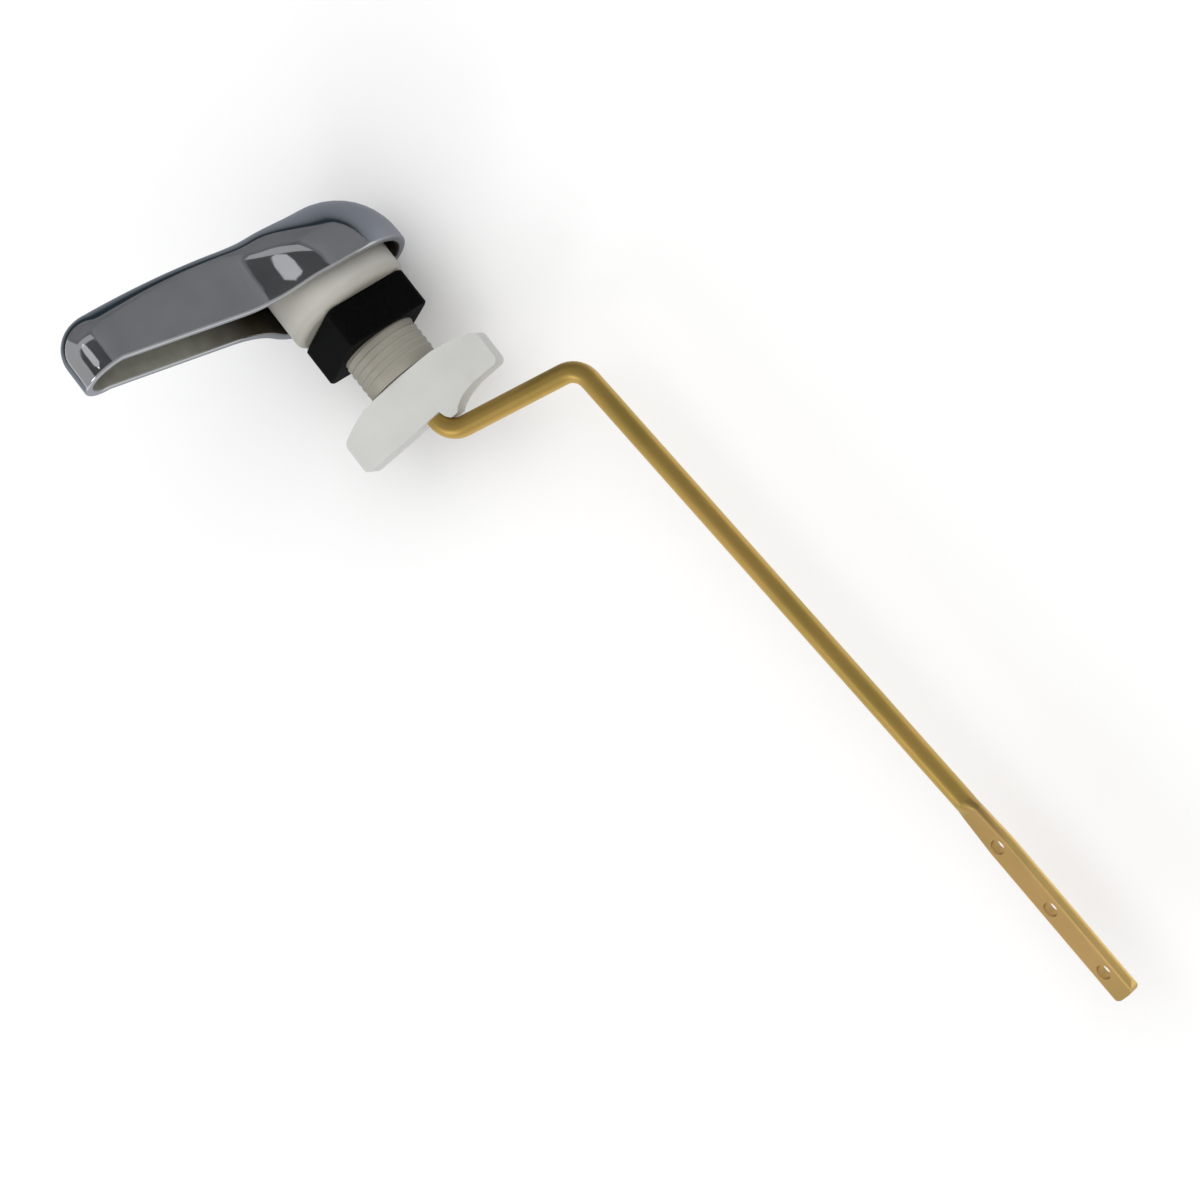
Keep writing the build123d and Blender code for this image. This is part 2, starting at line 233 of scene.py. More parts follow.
class CisternLeverFinishes(bpy.types.PropertyGroup):
    """Colours of the finishes."""

    chrome: bpy.props.FloatVectorProperty(
        name="Chrome", description="Polished plating of the handle",
        default=(0.50, 0.51, 0.525), subtype="COLOR", min=0, max=1)
    casting: bpy.props.FloatVectorProperty(
        name="Casting", description="Bare die-cast metal inside the handle",
        default=(0.36, 0.355, 0.305), subtype="COLOR", min=0, max=1)
    drum: bpy.props.FloatVectorProperty(
        name="Drum", description="Natural plastic of the bushing's drum",
        default=(0.54, 0.53, 0.49), subtype="COLOR", min=0, max=1)
    # painted shade: the barrel's colour is the same plastic painted darker for the shade it lies in
    barrel: bpy.props.FloatVectorProperty(
        name="Barrel", description="Natural plastic of the threaded barrel, which looks darker",
        default=(0.315, 0.297, 0.25), subtype="COLOR", min=0, max=1)
    nut: bpy.props.FloatVectorProperty(
        name="Nut", description="Black plastic of the lock nut",
        default=(0.002, 0.002, 0.0022), subtype="COLOR", min=0, max=1)
    holder: bpy.props.FloatVectorProperty(
        name="Holder", description="White plastic of the spindle and rod holder",
        default=(0.565, 0.565, 0.54), subtype="COLOR", min=0, max=1)
    brass: bpy.props.FloatVectorProperty(
        name="Brass", description="Drawn brass of the lift rod",
        default=(0.62, 0.42, 0.125), subtype="COLOR", min=0, max=1)
    stamped_brass: bpy.props.FloatVectorProperty(
        name="Stamped brass", description="Duller brass of the flattened end's faces",
        default=(0.56, 0.375, 0.148), subtype="COLOR", min=0, max=1)
    # painted light: brighter brass standing for the light that the flattened end's pressed sides catch
    painted_light_brass: bpy.props.FloatVectorProperty(
        name="Burnished brass", description="Brighter brass of the flattened end's pressed sides",
        default=(0.88, 0.62, 0.235), subtype="COLOR", min=0, max=1)
    steel: bpy.props.FloatVectorProperty(
        name="Steel", description="Plain steel of the set screw",
        default=(0.45, 0.45, 0.46), subtype="COLOR", min=0, max=1)
    floor: bpy.props.FloatVectorProperty(
        name="Floor", description="White studio floor",
        default=(0.96, 0.96, 0.96), subtype="COLOR", min=0, max=1)


def sizes():
    """The sizes as they are set in the scene, in metres."""
    return bpy.context.scene.cistern_lever_sizes


def finishes():
    """The colours as they are set in the scene."""
    return bpy.context.scene.cistern_lever_finishes


# nodes that the finishes share


def new_finish(name):
    """Material with its principled shader and Object coordinates."""
    material = bpy.data.materials.new(name)
    material.use_nodes = True
    nodes = material.node_tree.nodes
    coords = nodes.new("ShaderNodeTexCoord").outputs["Object"]
    return material, material.node_tree.links, nodes, nodes["Principled BSDF"], coords


def noise(nodes, links, coords, scale, detail, stretch=(1, 1, 1)):
    """Noise on a stretched copy of the coordinates."""
    mapping = nodes.new("ShaderNodeMapping")
    mapping.inputs["Scale"].default_value = stretch
    links.new(coords, mapping.inputs["Vector"])
    texture = nodes.new("ShaderNodeTexNoise")
    texture.inputs["Scale"].default_value = scale
    texture.inputs["Detail"].default_value = detail
    links.new(mapping.outputs["Vector"], texture.inputs["Vector"])
    return texture.outputs["Fac"]


def ramp(nodes, links, factor, *stops):
    """Colour ramp through (place, colour) stops."""
    node = nodes.new("ShaderNodeValToRGB")
    elements = node.color_ramp.elements
    for element, (place, colour) in zip(elements, (stops[0], stops[-1])):
        element.position = place
        element.color = (*colour, 1)
    for place, colour in stops[1:-1]:
        elements.new(place).color = (*colour, 1)
    links.new(factor, node.inputs["Fac"])
    return node.outputs["Color"]


def spread(nodes, links, factor, low, high):
    """Number between low and high as a factor goes from 0 to 1."""
    node = nodes.new("ShaderNodeMapRange")
    node.inputs["To Min"].default_value = low
    node.inputs["To Max"].default_value = high
    links.new(factor, node.inputs["Value"])
    return node.outputs["Result"]


def between(nodes, links, value, start, end):
    """Number from 0 to 1 as a value goes from start to end."""
    node = nodes.new("ShaderNodeMapRange")
    node.inputs["From Min"].default_value = start
    node.inputs["From Max"].default_value = end
    links.new(value, node.inputs["Value"])
    return node.outputs["Result"]


def along_x(nodes, links, coords, start, end):
    """Number from 0 to 1 between two places along the spindle's axis."""
    split = nodes.new("ShaderNodeSeparateXYZ")
    links.new(coords, split.inputs["Vector"])
    return between(nodes, links, split.outputs["X"], start, end)


def from_axis(nodes, links, coords):
    """Distance from the spindle's axis."""
    across = nodes.new("ShaderNodeVectorMath")
    across.operation = "MULTIPLY"
    across.inputs[1].default_value = (0, 1, 1)
    links.new(coords, across.inputs[0])
    reach = nodes.new("ShaderNodeVectorMath")
    reach.operation = "LENGTH"
    links.new(across.outputs["Vector"], reach.inputs[0])
    return reach.outputs["Value"]


def from_flat_middle(nodes, links, coords):
    """Distance from the middle line of the rod's flattened end, across its face."""
    across = nodes.new("ShaderNodeVectorMath")
    across.operation = "DOT_PRODUCT"
    across.inputs[1].default_value = FLAT_ACROSS
    links.new(coords, across.inputs[0])
    offset = nodes.new("ShaderNodeMath")
    offset.operation = "SUBTRACT"
    offset.inputs[1].default_value = FLAT_MIDDLE * MM
    links.new(across.outputs["Value"], offset.inputs[0])
    distance = nodes.new("ShaderNodeMath")
    distance.operation = "ABSOLUTE"
    links.new(offset.outputs["Value"], distance.inputs[0])
    return distance.outputs["Value"]


def multiply(nodes, links, first, second):
    """One colour times another."""
    mix = nodes.new("ShaderNodeMix")
    mix.data_type = "RGBA"
    mix.blend_type = "MULTIPLY"
    mix.inputs[0].default_value = 1.0
    links.new(first, mix.inputs[6])
    links.new(second, mix.inputs[7])
    return mix.outputs[2]


def bump(nodes, links, shader, height, strength, distance):
    """Fine relief on a shader's surface."""
    node = nodes.new("ShaderNodeBump")
    node.inputs["Strength"].default_value = strength
    node.inputs["Distance"].default_value = distance
    links.new(height, node.inputs["Height"])
    links.new(node.outputs["Normal"], shader.inputs["Normal"])


def shade(colour, factor):
    """Darker or lighter copy of a colour."""
    return tuple(min(1.0, c * factor) for c in colour)


def clouded(nodes, links, factor, colour, dark, light, places=(0.3, 0.7)):
    """Colour that varies with a noise between a darker and a lighter copy of itself."""
    return ramp(nodes, links, factor, (places[0], shade(colour, dark)), (places[1], shade(colour, light)))


# finishes


def polished_chrome(colour):
    """Bright plating, faintly clouded and not quite flat."""
    material, links, nodes, shader, coords = new_finish("polished_chrome")
    shader.inputs["Metallic"].default_value = 1
    cloud = noise(nodes, links, coords, scale=90, detail=3)
    links.new(clouded(nodes, links, cloud, colour, 0.93, 1.04), shader.inputs["Base Color"])
    links.new(spread(nodes, links, cloud, 0.05, 0.10), shader.inputs["Roughness"])
    waves = noise(nodes, links, coords, scale=110, detail=1)
    bump(nodes, links, shader, waves, strength=0.10, distance=0.0004)
    return material


def bare_casting(colour):
    """Bare metal, painted darker brown round the spindle as painted shade deep in the hollow hub."""
    material, links, nodes, shader, coords = new_finish("bare_casting")
    shader.inputs["Metallic"].default_value = 0.2
    grain = noise(nodes, links, coords, scale=400, detail=4)
    tone = clouded(nodes, links, grain, colour, 0.85, 1.1)
    outwards = between(nodes, links, from_axis(nodes, links, coords), *PAINTED_SHADE_SPAN)
    # painted shade, darkest by the spindle and fading out to the casting's own colour
    painted_shade = ramp(nodes, links, outwards, (0.0, (0.10, 0.075, 0.045)), (1.0, (1.0, 1.0, 1.0)))
    links.new(multiply(nodes, links, tone, painted_shade), shader.inputs["Base Color"])
    links.new(spread(nodes, links, grain, 0.42, 0.55), shader.inputs["Roughness"])
    bump(nodes, links, shader, grain, strength=0.1, distance=0.0002)
    return material


def natural_plastic(drum, barrel):
    """Slightly see-through moulding; the barrel and the drum's lip by the nut are painted darker than the
    drum as painted shade.
    """
    material, links, nodes, shader, coords = new_finish("natural_plastic")
    inwards = along_x(nodes, links, coords, *DRUM_TO_SHADED_BARREL)
    # painted shade: lit drum to shaded barrel along the axis
    tone = ramp(nodes, links, inwards, (0.0, drum), (1.0, barrel))
    cloud = noise(nodes, links, coords, scale=160, detail=4)
    mottle = ramp(nodes, links, cloud, (0.25, (0.93, 0.92, 0.90)), (0.75, (1.0, 1.0, 1.0)))
    links.new(multiply(nodes, links, tone, mottle), shader.inputs["Base Color"])
    shader.inputs["Subsurface Weight"].default_value = 0.12
    shader.inputs["Subsurface Radius"].default_value = (1.0, 0.9, 0.7)
    shader.inputs["Subsurface Scale"].default_value = 0.003
    links.new(spread(nodes, links, cloud, 0.38, 0.5), shader.inputs["Roughness"])
    grain = noise(nodes, links, coords, scale=900, detail=3)
    bump(nodes, links, shader, grain, strength=0.08, distance=0.0002)
    return material


def white_plastic(colour):
    """Slightly see-through white moulding."""
    material, links, nodes, shader, coords = new_finish("white_plastic")
    cloud = noise(nodes, links, coords, scale=120, detail=4)
    links.new(clouded(nodes, links, cloud, colour, 0.95, 1.03, (0.25, 0.75)), shader.inputs["Base Color"])
    shader.inputs["Subsurface Weight"].default_value = 0.15
    shader.inputs["Subsurface Radius"].default_value = (1.0, 0.95, 0.85)
    shader.inputs["Subsurface Scale"].default_value = 0.004
    links.new(spread(nodes, links, cloud, 0.36, 0.48), shader.inputs["Roughness"])
    grain = noise(nodes, links, coords, scale=700, detail=3)
    bump(nodes, links, shader, grain, strength=0.08, distance=0.0002)
    return material


def black_plastic(colour):
    """Dull black moulding with a fine grain."""
    material, links, nodes, shader, coords = new_finish("black_plastic")
    grain = noise(nodes, links, coords, scale=1200, detail=4)
    links.new(clouded(nodes, links, grain, colour, 0.8, 1.6), shader.inputs["Base Color"])
    links.new(spread(nodes, links, grain, 0.45, 0.62), shader.inputs["Roughness"])
    shader.inputs["Specular IOR Level"].default_value = 0.04
    bump(nodes, links, shader, grain, strength=0.15, distance=0.0002)
    return material


def drawn_brass(drawn, stamped, painted_light):
    """Satin brass with the fine lines of drawing and a little tarnish; its flattened end was stamped, and
    its pressed sides are painted brighter as painted light.
    """
    material, links, nodes, shader, coords = new_finish("drawn_brass")
    shader.inputs["Metallic"].default_value = 1
    sideways = between(
        nodes, links, from_flat_middle(nodes, links, coords), PRESSED_SIDE[0] * MM, PRESSED_SIDE[1] * MM)
    blend = nodes.new("ShaderNodeMix")
    blend.data_type = "RGBA"
    blend.inputs[6].default_value = (*drawn, 1)
    links.new(along_x(nodes, links, coords, *DRAWN_TO_STAMPED), blend.inputs[0])
    # painted light: stamped faces in the middle, painted brighter towards the pressed sides
    links.new(ramp(nodes, links, sideways, (0.0, stamped), (1.0, painted_light)), blend.inputs[7])
    tarnish = ramp(
        nodes, links, noise(nodes, links, coords, scale=70, detail=4),
        (0.28, (0.84, 0.87, 0.80)), (0.5, (0.95, 0.94, 0.92)), (0.72, (1.0, 0.98, 0.97)))
    links.new(multiply(nodes, links, blend.outputs[2], tarnish), shader.inputs["Base Color"])
    lines = noise(nodes, links, coords, scale=900, detail=2, stretch=(0.03, 1, 1))
    links.new(spread(nodes, links, lines, 0.40, 0.50), shader.inputs["Roughness"])
    bump(nodes, links, shader, lines, strength=0.08, distance=0.0001)
    return material


def plain_steel(colour):
    """Plain grey steel."""
    material, links, nodes, shader, coords = new_finish("plain_steel")
    shader.inputs["Metallic"].default_value = 1
    grain = noise(nodes, links, coords, scale=800, detail=3)
    links.new(clouded(nodes, links, grain, colour, 0.85, 1.1), shader.inputs["Base Color"])
    links.new(spread(nodes, links, grain, 0.3, 0.45), shader.inputs["Roughness"])
    return material


# shaping helpers


def edges_between(verts):
    """Edges whose two ends are both in verts."""
    inside = set(verts)
    touching = {e for v in verts for e in v.link_edges}
    return [e for e in touching if e.verts[0] in inside and e.verts[1] in inside]


def polyline(bm, points, closed=False):
    """Chain of vertices and edges through a few points."""
    verts = [bm.verts.new(p) for p in points]
    pairs = list(zip(verts, verts[1:]))
    if closed:
        pairs.append((verts[-1], verts[0]))
    return verts, [bm.edges.new(pair) for pair in pairs]


def turned(bm, points, steps=96):
    """Closed profile of (x, radius) points spun a full turn about X."""
    verts, edges = polyline(bm, [(x, r, 0) for x, r in points], closed=True)
    bmesh.ops.spin(
        bm, geom=verts + edges, cent=(0, 0, 0), axis=(1, 0, 0), angle=FULL_TURN, steps=steps, use_merge=True)


def sector_block(bm, r, x, middle, half_angle, steps=6):
    """Ring sector about X as a closed block."""
    before = set(bm.verts)
    corners = [(x[0], r[0], 0), (x[1], r[0], 0), (x[1], r[1], 0), (x[0], r[1], 0)]
    verts, _ = polyline(bm, corners, closed=True)
    face = bm.faces.new(verts)
    bmesh.ops.rotate(bm, verts=verts, cent=(0, 0, 0), matrix=Matrix.Rotation(middle - half_angle, 3, "X"))
    bmesh.ops.spin(bm, geom=[face], cent=(0, 0, 0), axis=(1, 0, 0), angle=2 * half_angle, steps=steps)
    fresh = [v for v in bm.verts if v not in before]
    bmesh.ops.recalc_face_normals(bm, faces=list({f for v in fresh for f in v.link_faces}))


def square_bar(bm, half, x0, x1, turn):
    """Square bar along X between x0 and x1, turned about X."""
    middle = Matrix.Translation(((x0 + x1) / 2, 0, 0)) @ Matrix.Rotation(turn, 4, "X")
    bmesh.ops.create_cube(bm, size=1, matrix=middle @ Matrix.Diagonal((x1 - x0, 2 * half, 2 * half, 1)))


def round_bar(bm, radius, x0, x1, segments=64):
    """Round bar along X between x0 and x1."""
    bmesh.ops.create_cone(
        bm, cap_ends=True, segments=segments, radius1=radius, radius2=radius, depth=x1 - x0,
        matrix=Matrix.Translation(((x0 + x1) / 2, 0, 0)) @ Z_TO_X)


def soften(bm, edges, offset, segments):
    """Round off edges."""
    bmesh.ops.bevel(
        bm, geom=edges, offset=offset, offset_type="OFFSET", affect="EDGES", segments=segments,
        profile=0.5, material=-1, clamp_overlap=True)


def mark_sharp(bm, limit):
    """Smooth faces, with sharp edges where they meet at the limit or more."""
    for face in bm.faces:
        face.smooth = True
    for edge in bm.edges:
        edge.smooth = edge.calc_face_angle(0.0) < limit


def finish_piece(name, bm, materials, body, node):
    """Piece in metres from a mesh in mm, riding on its body in place of its CAD node."""
    bmesh.ops.scale(bm, vec=(MM, MM, MM), verts=bm.verts)
    mesh = bpy.data.meshes.new(name)
    bm.to_mesh(mesh)
    bm.free()
    for material in materials:
        mesh.materials.append(material)
    piece = bpy.data.objects.new(name, mesh)
    bpy.context.scene.collection.objects.link(piece)
    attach(piece, body)
    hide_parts(node)


def finish_node(node, material):
    """Better material on a CAD node that stays."""
    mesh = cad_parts[node].data
    mesh.materials.clear()
    mesh.materials.append(material)


# handle


def ease(t):
    """Smooth step from 0 to 1."""
    t = min(max(t, 0.0), 1.0)
    return t * t * (3 - 2 * t)


def handle_profile(s, half_w, edge, edge_steps=12, wall_steps=3):
    """Half the handle's section at s from the axis as (x, z) in mm, from the front's middle to the rim."""
    neck = math.sqrt((HUB_R + NECK_R) ** 2 - (half_w + NECK_R) ** 2)
    meet = neck * HUB_R / (HUB_R + NECK_R)
    if s <= meet:
        w = math.sqrt(HUB_R ** 2 - s ** 2)
    elif s <= neck:
        w = half_w + NECK_R - math.sqrt(NECK_R ** 2 - (neck - s) ** 2)
    else:
        w = half_w
    r = edge + (HUB_EDGE_R - edge) * (1 - ease(s / neck))
    r += (TIP_EDGE_R - edge) * ease((s - neck) / (TIP_S - neck))
    front = FRONT_X + FRONT_RISE * math.sin(QUARTER_TURN * s / TIP_S) ** FRONT_POWER
    rim = RIM_X
    rim += RIM_SLOPE * s * s / (2 * RIM_BLEND) if s <= RIM_BLEND else RIM_SLOPE * (s - RIM_BLEND / 2)
    flat = w - r
    points = [(0, front), (flat / 2, front)]
    for k in range(edge_steps + 1):
        a = QUARTER_TURN * (1 - k / edge_steps)
        points.append((flat + r * math.cos(a), front - r + r * math.sin(a)))
    for k in range(1, wall_steps + 1):
        points.append((w, front - r + (rim - front + r) * k / wall_steps))
    return [(-depth, z) for z, depth in points]


def open_access_hole(bm):
    """Round hole for the key of the set screw, through the hub's wall on one side."""
    reach = ACCESS_R + ACCESS_MARGIN
    side = [v for v in bm.verts if v.co.z < ACCESS_SIDE_Z]
    near = [v for v in side if math.hypot(v.co.x - ACCESS_X, v.co.y) < reach]
    bmesh.ops.dissolve_verts(bm, verts=near)
    middle = Vector((ACCESS_X, 0, ACCESS_WALL_Z))
    cap = min(bm.faces, key=lambda f: (f.calc_center_median() - middle).length)
    bmesh.ops.inset_region(bm, faces=[cap], thickness=ACCESS_INSET, use_even_offset=True)
    for v in cap.verts:
        a = math.atan2(v.co.y, v.co.x - ACCESS_X)
        x = ACCESS_X + ACCESS_R * math.cos(a)
        y = ACCESS_R * math.sin(a)
        hub = HUB_R - HUB_EDGE_R + math.sqrt(HUB_EDGE_R ** 2 - (FRONT_X - HUB_EDGE_R + x) ** 2)
        v.co = (x, y, -math.sqrt(hub ** 2 - y ** 2))
    bmesh.ops.delete(bm, geom=[cap], context="FACES_ONLY")


def handle_shell(bm, half_w, edge, wall, rim_round):
    """Hollow lever, open at the back: half of it drawn out from the hub, its ends spun, then mirrored."""
    place = bm.verts.layers.int.new("place")
    verts, row = polyline(bm, [(x, 0, z) for x, z in handle_profile(0, half_w, edge)])
    for k, v in enumerate(verts):
        v[place] = k
    first = verts + row
    for k in range(1, HANDLE_STATIONS + 1):
        s = TIP_S * k / HANDLE_STATIONS
        profile = handle_profile(s, half_w, edge)
        drawn = bmesh.ops.extrude_edge_only(bm, edges=row)["geom"]
        verts = [g for g in drawn if isinstance(g, bmesh.types.BMVert)]
        row = edges_between(verts)
        for v in verts:
            x, z = profile[v[place]]
            v.co = (x, -s, z)
    last = verts + row
    bmesh.ops.spin(bm, geom=first, cent=(0, 0, 0), axis=(1, 0, 0), angle=-QUARTER_TURN, steps=HUB_STEPS)
    bmesh.ops.spin(bm, geom=last, cent=(0, -TIP_S, 0), axis=(1, 0, 0), angle=QUARTER_TURN, steps=TIP_STEPS)
    bmesh.ops.remove_doubles(bm, verts=bm.verts, dist=HANDLE_MERGE)
    bmesh.ops.mirror(bm, geom=bm.verts[:] + bm.edges[:] + bm.faces[:], axis="Z", merge_dist=HANDLE_MERGE)
    bmesh.ops.remove_doubles(bm, verts=bm.verts, dist=HANDLE_MERGE)
    bmesh.ops.recalc_face_normals(bm, faces=bm.faces)
    front = min(bm.faces, key=lambda f: f.calc_center_median().x)
    if front.normal.x > 0:
        bmesh.ops.reverse_faces(bm, faces=bm.faces)
    open_access_hole(bm)
    for inside in bmesh.ops.solidify(bm, geom=bm.faces[:], thickness=wall)["geom"]:
        if isinstance(inside, bmesh.types.BMFace):
            inside.material_index = 1
    soften(bm, [e for e in bm.edges if e.calc_face_angle(0.0) > RIM_ANGLE], rim_round, 3)


def handle_boss(bm):
    """Boss with its square socket, and the stop lug beside it."""
    loops = []
    for x, square in ((BOSS_FRONT, False), (BOSS_END, False), (BOSS_END, True), (SOCKET_FLOOR, True)):
        ring = bmesh.ops.create_circle(
            bm, segments=BOSS_STEPS, radius=BOSS_R, matrix=Matrix.Translation((x, 0, 0)) @ Z_TO_X)["verts"]
        if square:
            for v in ring:
                reach = SOCKET_HALF / max(abs(v.co.y), abs(v.co.z))
                v.co.y *= reach
                v.co.z *= reach
        loops.append(edges_between(ring))
    for a, b in zip(loops, loops[1:]):
        bmesh.ops.bridge_loops(bm, edges=a + b)
    for loop in (loops[0], loops[-1]):
        bmesh.ops.poke(bm, faces=bmesh.ops.edgeloop_fill(bm, edges=loop)["faces"])
    sector_block(bm, LUG_R, LUG_X, 0, LUG_HALF_ANGLE)


class CISTERN_OT_handle(bpy.types.Operator):
    """Make the chromed hollow handle with its boss and stop lug"""

    bl_idname = "cistern.handle"
    bl_label = "Handle"

    def execute(self, context):
        size = sizes()
        bm = bmesh.new()
        handle_shell(
            bm, size.lever_half_width / MM, size.lever_edge / MM, size.wall / MM, size.rim_round / MM)
        inner = bmesh.new()
        handle_boss(inner)
        bmesh.ops.recalc_face_normals(inner, faces=inner.faces)
        for face in inner.faces:
            face.material_index = 1
        boss = bpy.data.meshes.new("boss")
        inner.to_mesh(boss)
        inner.free()
        bm.from_mesh(boss)
        bpy.data.meshes.remove(boss)
        bmesh.ops.rotate(bm, verts=bm.verts, cent=(0, 0, 0), matrix=Matrix.Rotation(HANDLE_REST, 3, "X"))
        mark_sharp(bm, HANDLE_SHARP)
        look = finishes()
        metal = [polished_chrome(look.chrome), bare_casting(look.casting)]
        finish_piece("handle_shell", bm, metal, "lever", "handle")
        return {"FINISHED"}


# bushing


def thread(bm, crest, depth, pitch, start, end, turn_steps=48):
    """Thread ridge wound along the barrel, running out into its core at both ends."""
    sunk = crest - depth - THREAD_SUNK
    foot = THREAD_FOOT * pitch
    top = THREAD_TOP * pitch
    profile = [(-foot, sunk), (-top, crest), (top, crest), (foot, sunk)]
    verts, edges = polyline(bm, [(start + x, r, 0) for x, r in profile], closed=True)
    before = set(bm.verts) - set(verts)
    steps = int((end - start) / pitch * turn_steps)
    bmesh.ops.spin(
        bm, geom=verts + edges, cent=(0, 0, 0), axis=(1, 0, 0), angle=FULL_TURN * steps / turn_steps,
        steps=steps, dvec=(pitch / turn_steps, 0, 0))
    wound = [v for v in bm.verts if v not in before]
    for v in wound:
        r = math.hypot(v.co.y, v.co.z)
        keep = min(1.0, max(0.0, min(v.co.x - start + THREAD_LEAD, end - v.co.x) / pitch))
        lower = (sunk + (r - sunk) * keep) / r
        v.co.y *= lower
        v.co.z *= lower
    bmesh.ops.holes_fill(bm, edges=[e for e in edges_between(wound) if e.is_boundary])


def edges_on_plane(bm, x):
    """Edges that lie in a plane across the axis."""
    return [e for e in bm.edges if all(abs(v.co.x - x) < ON_PLANE for v in e.verts)]


class CISTERN_OT_bushing(bpy.types.Operator):
    """Make the drum, the threaded barrel and the stop ribs in the cup"""

    bl_idname = "cistern.bushing"
    bl_label = "Bushing"

    def execute(self, context):
        size = sizes()
        crest = size.thread_crest / MM
        depth = size.thread_depth / MM
        core = crest - depth
        bm = bmesh.new()
        turned(bm, [
            (DRUM_FLOOR, BORE_R),
            (DRUM_FLOOR, CUP_R),
            (DRUM_FRONT, CUP_R),
            (DRUM_FRONT, DRUM_R),
            (0, DRUM_R),
            (0, core),
            (BARREL_END - BARREL_CHAMFER[0], core),
            (BARREL_END, core - BARREL_CHAMFER[1]),
            (BARREL_END, BORE_R),
        ])
        lip = [e for e in edges_on_plane(bm, 0) if all(v.co.yz.length > DRUM_R - AT_EDGE for v in e.verts)]
        soften(bm, lip, size.drum_lip / MM, 6)
        rim = [e for e in edges_on_plane(bm, DRUM_FRONT)
               if abs(e.verts[0].co.yz.length - e.verts[1].co.yz.length) < ON_PLANE]
        soften(bm, rim, DRUM_RIM_ROUND, 2)
        thread(bm, crest, depth, size.thread_pitch / MM, THREAD_INSET, BARREL_END - THREAD_INSET)
        for middle in RIB_MIDDLES:
            sector_block(bm, RIB_R, RIB_X, middle, RIB_HALF_ANGLE)
        bmesh.ops.remove_doubles(bm, verts=bm.verts, dist=BUSHING_MERGE)
        bmesh.ops.recalc_face_normals(bm, faces=bm.faces)
        mark_sharp(bm, MOULDED_SHARP)
        look = finishes()
        plastic = [natural_plastic(look.drum, look.barrel)]
        finish_piece("threaded_bushing", bm, plastic, "bushing", "bushing")
        return {"FINISHED"}


# spindle and rod holder


def holder_half_thickness(x, y):
    """Half the holder's thickness, most at the axis and least at the ears."""
    along = (x - HOLDER_TOP) / (HOLDER_END - HOLDER_TOP)
    middle = HOLDER_HALF_T[0] + (HOLDER_HALF_T[1] - HOLDER_HALF_T[0]) * along
    return EAR_HALF_T + (middle - EAR_HALF_T) * (1 - (y / EAR_HALF) ** 2)


def saddle_outline():
    """Web inside the rod's first bend: round the bend, then back along a hollow curve to the ear."""
    x0, y0 = BEND_MIDDLE
    points = []
    for degrees in (0, 15, 30, 45):
        a = math.radians(degrees)
        points.append((x0 + BEND_INNER * math.sin(a), y0 - BEND_INNER * math.cos(a)))
    return [*points, *SADDLE_CURVE]


def holder_plate(bm):
    """Eared plate and saddle in the rod's plane, drawn out to two faces that stand thickest at the axis."""
    edge = [
        (HOLDER_END, EAR_HALF),
        (EAR_TOP, EAR_HALF),
        KNEE,
        (HOLDER_TOP, SHOULDER_W),
        (HOLDER_TOP, -SHOULDER_W),
        (KNEE[0], -KNEE[1]),
        (EAR_TOP, -EAR_HALF),
        (HOLDER_END, -EAR_HALF),
        (HOLDER_END, BEND_MIDDLE[1] - BEND_INNER),
        (HOLDER_END, SADDLE_FOOT),
    ]
    rim = [bm.verts.new((x, y, 0)) for x, y in edge]
    bm.faces.new(rim)
    web = [bm.verts.new((x, y, 0)) for x, y in saddle_outline()]
    bm.faces.new([rim[-1], rim[-2], *web])
    for k in range(-HOLDER_CUTS, HOLDER_CUTS + 1):
        bmesh.ops.bisect_plane(
            bm, geom=bm.verts[:] + bm.edges[:] + bm.faces[:], plane_co=(0, HOLDER_CUT_STEP * k, 0),
            plane_no=(0, 1, 0))
    drawn = bmesh.ops.extrude_face_region(bm, geom=bm.faces[:])["geom"]
    near = {g for g in drawn if isinstance(g, bmesh.types.BMVert)}
    for v in bm.verts:
        t = holder_half_thickness(v.co.x, v.co.y)
        v.co.z = t if v in near else -t
    bmesh.ops.recalc_face_normals(bm, faces=bm.faces)


class CISTERN_OT_spindle(bpy.types.Operator):
    """Make the spindle's shaft and the two-eared rod holder"""

    bl_idname = "cistern.spindle"
    bl_label = "Spindle and rod holder"

    def execute(self, context):
        size = sizes()
        bm = bmesh.new()
        holder_plate(bm)
        ends = [e for e in bm.edges if abs(e.verts[0].co.y) > EAR_HALF - AT_EDGE]
        corners = [e for e in ends if abs(e.verts[0].co.z - e.verts[1].co.z) > CORNER_SPAN]
        soften(bm, corners, size.ear_corner / MM, 5)
        rims = [e for e in bm.edges if e.calc_face_angle(0.0) > HOLDER_RIM_ANGLE]
        soften(bm, rims, size.holder_round / MM, 4)
        round_bar(bm, JOURNAL_R, BOSS_END, JOURNAL_END)
        round_bar(bm, COLLAR_R, *COLLAR_X)
        square_bar(bm, SHANK_HALF, SHANK_FRONT, BOSS_END + SHANK_OVERLAP, HANDLE_REST)
        mark_sharp(bm, MOULDED_SHARP)
        plastic = [white_plastic(finishes().holder)]
        finish_piece("rod_holder", bm, plastic, "lever", "spindle")
        return {"FINISHED"}


# nodes that keep their CAD shape


class CISTERN_OT_nut(bpy.types.Operator):
    """Give the square lock nut its moulded finish"""

    bl_idname = "cistern.nut"
    bl_label = "Lock nut"

    def execute(self, context):
        finish_node("lock_nut", black_plastic(finishes().nut))
        return {"FINISHED"}


class CISTERN_OT_rod(bpy.types.Operator):
    """Give the lift rod its drawn brass"""

    bl_idname = "cistern.rod"
    bl_label = "Lift rod"

    def execute(self, context):
        look = finishes()
        finish_node("lift_rod", drawn_brass(look.brass, look.stamped_brass, look.painted_light_brass))
        return {"FINISHED"}


class CISTERN_OT_screw(bpy.types.Operator):
    """Give the set screw its plain steel"""

    bl_idname = "cistern.screw"
    bl_label = "Set screw"

    def execute(self, context):
        finish_node("set_screw", plain_steel(finishes().steel))
        return {"FINISHED"}


# stage


